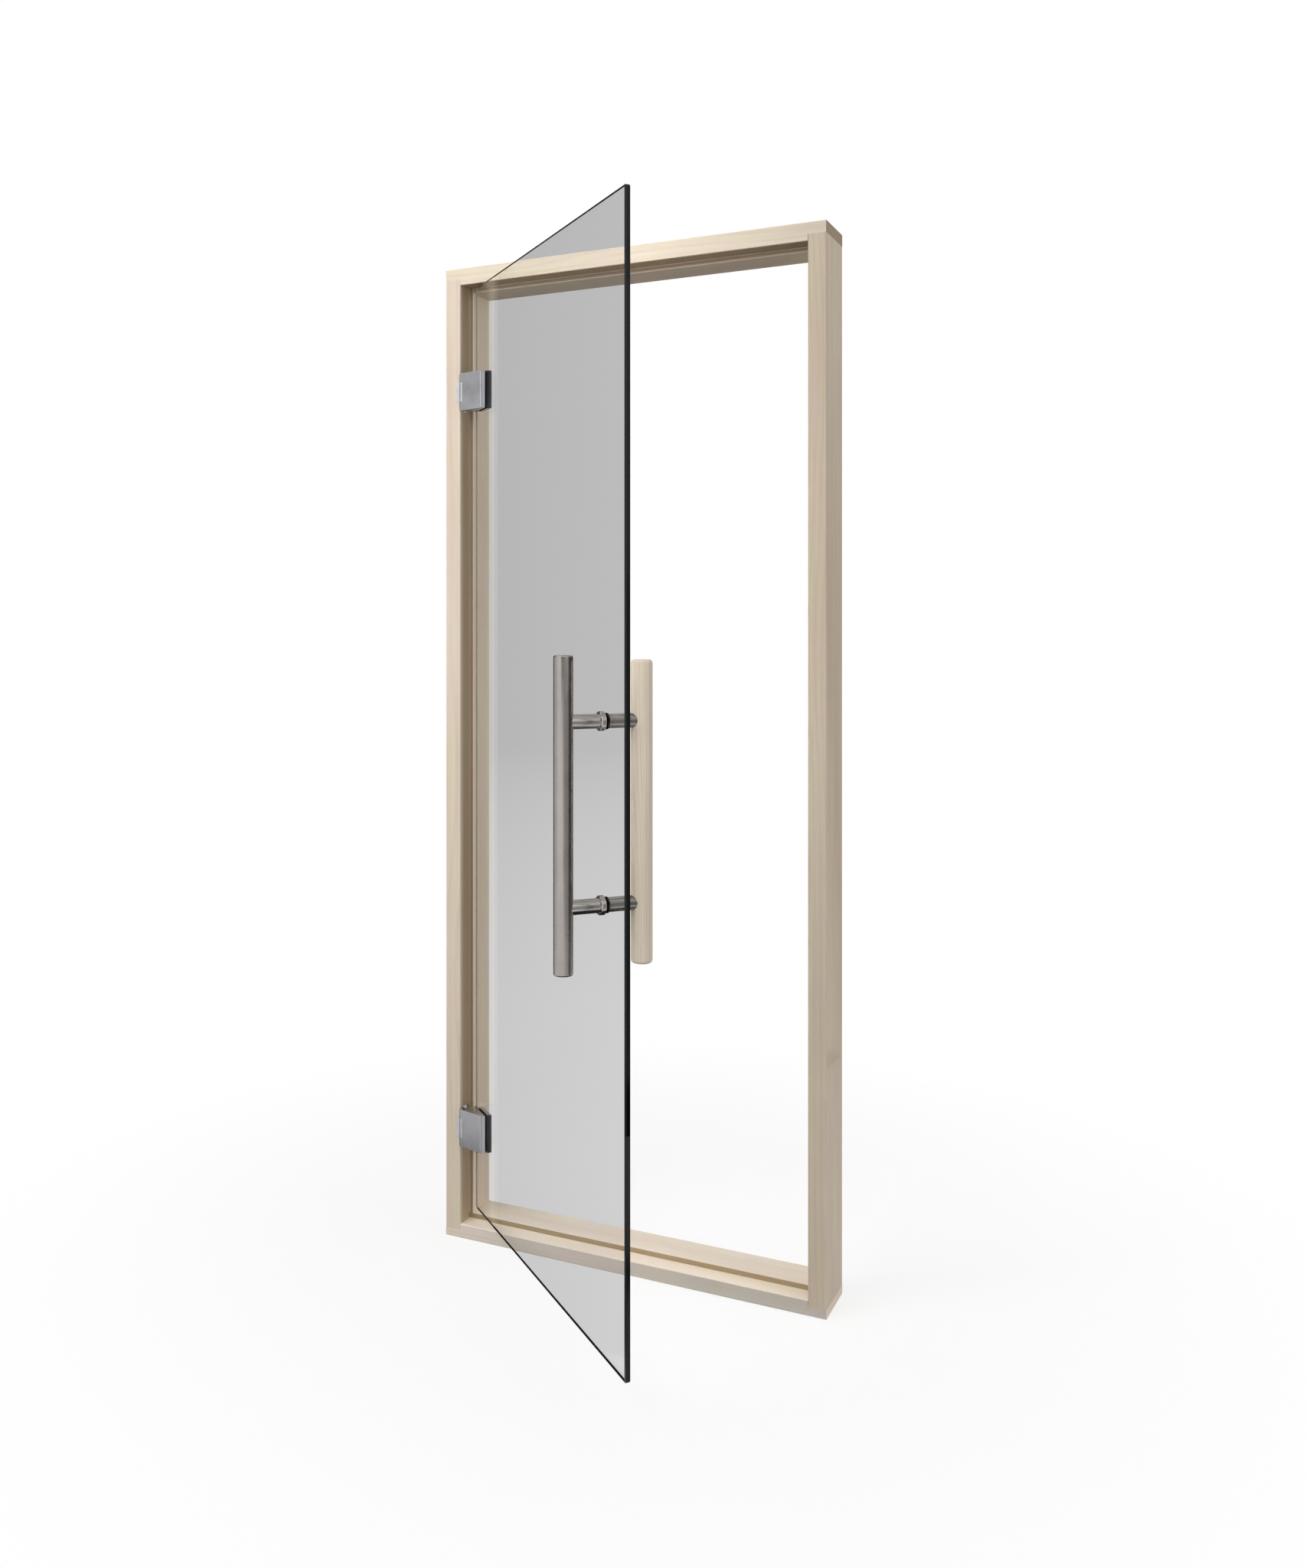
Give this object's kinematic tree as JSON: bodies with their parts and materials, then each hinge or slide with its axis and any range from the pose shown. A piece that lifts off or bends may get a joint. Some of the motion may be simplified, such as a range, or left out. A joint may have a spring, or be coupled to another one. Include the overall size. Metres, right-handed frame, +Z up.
{
  "type": "sauna door",
  "caption": "Frameless smoked-glass sauna door leaf hung in a rebated pale timber frame, with a steel bar outside and a timber bar inside.",
  "frame": {"origin": "middle of the sill's underside, on the floor face", "axes": "+X across the doorway to the latch jamb, -Y out of the front of the frame where the leaf opens, +Z up"},
  "size_m": [0.8, 0.5807, 1.99],
  "materials": {
    "frame_timber": "planed pale softwood, untreated",
    "handle_timber": "turned pale timber, sanded",
    "smoked_glass": "clear grey-tinted tempered glass with ground edges",
    "satin_hinge_metal": "satin plated casting",
    "satin_steel": "satin brushed stainless steel",
    "pin_steel": "bright steel",
    "black_rubber": "matte black gasket",
    "seal_rubber": "soft brown extruded seal"
  },
  "bodies": {
    "frame": {"hinge_jamb": "frame_timber", "latch_jamb": "frame_timber", "head_rail": "frame_timber", "sill": "frame_timber", "sill_step": "frame_timber", "hinge_stop": "frame_timber", "latch_stop": "frame_timber", "head_stop": "frame_timber", "hinge_seal": "seal_rubber", "latch_seal": "seal_rubber", "head_seal": "seal_rubber", "lower_hinge_jamb_plate": "satin_hinge_metal", "lower_hinge_pin": "pin_steel", "upper_hinge_jamb_plate": "satin_hinge_metal", "upper_hinge_pin": "pin_steel"},
    "leaf": {"glass_leaf": "smoked_glass", "outside_bar": "satin_steel", "inside_bar": "handle_timber", "lower_hinge_clamp": "satin_hinge_metal", "lower_hinge_back_plate": "satin_hinge_metal", "lower_hinge_outer_gasket": "black_rubber", "lower_hinge_inner_gasket": "black_rubber", "lower_outer_standoff": "satin_steel", "lower_outer_washer": "black_rubber", "lower_inner_washer": "black_rubber", "lower_inner_standoff": "satin_steel", "upper_hinge_clamp": "satin_hinge_metal", "upper_hinge_back_plate": "satin_hinge_metal", "upper_hinge_outer_gasket": "black_rubber", "upper_hinge_inner_gasket": "black_rubber", "upper_outer_standoff": "satin_steel", "upper_outer_washer": "black_rubber", "upper_inner_washer": "black_rubber", "upper_inner_standoff": "satin_steel"}
  },
  "joints": [
    {"name": "leaf_swing", "type": "hinge", "parent": "frame", "child": "leaf", "pos_m": [-0.357, -0.062, 0.98], "axis": [0, 0, -1], "range_deg": [-41, 69]}
  ]
}
